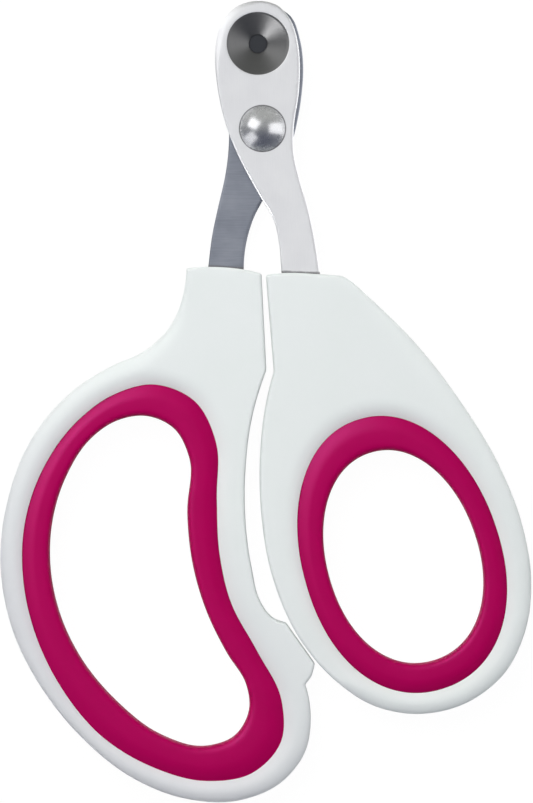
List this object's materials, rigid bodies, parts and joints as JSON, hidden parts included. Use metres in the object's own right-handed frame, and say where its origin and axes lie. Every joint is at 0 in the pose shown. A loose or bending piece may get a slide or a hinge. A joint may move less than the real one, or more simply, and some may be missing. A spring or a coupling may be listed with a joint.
{
  "type": "scissor nail clipper",
  "caption": "Scissor-action pet nail clipper: a round-nosed die plate with a conical nail hole, a shear blade behind it on a rivet, and offset finger loops with soft grip rings.",
  "frame": {"origin": "centre of the footprint on the plane of the handles' backs", "axes": "+Y from the finger loops to the blades, +Z out of the face with the domed rivet and the nail cone, +X towards the thumb loop"},
  "size_m": [0.0874, 0.132, 0.009],
  "materials": {
    "die_steel": "fine satin with a turned cone",
    "shear_steel": "brushed across its width",
    "polished_steel": "polished",
    "white_plastic": "semi-gloss moulded",
    "soft_grip": "satin moulded thermoplastic rubber"
  },
  "bodies": {
    "front_half": {"front_blade": "die_steel", "pivot_rivet": "polished_steel", "rivet_washer": "polished_steel", "right_handle": "white_plastic", "right_grip": "soft_grip"},
    "rear_half": {"rear_blade": "shear_steel", "left_handle": "white_plastic", "left_grip": "soft_grip"}
  },
  "joints": [
    {"name": "pivot", "type": "hinge", "parent": "front_half", "child": "rear_half", "pos_m": [-0.00055, 0.04497, 0.0045], "axis": [0, 0, -1], "range_deg": [-0.15, 40]}
  ]
}
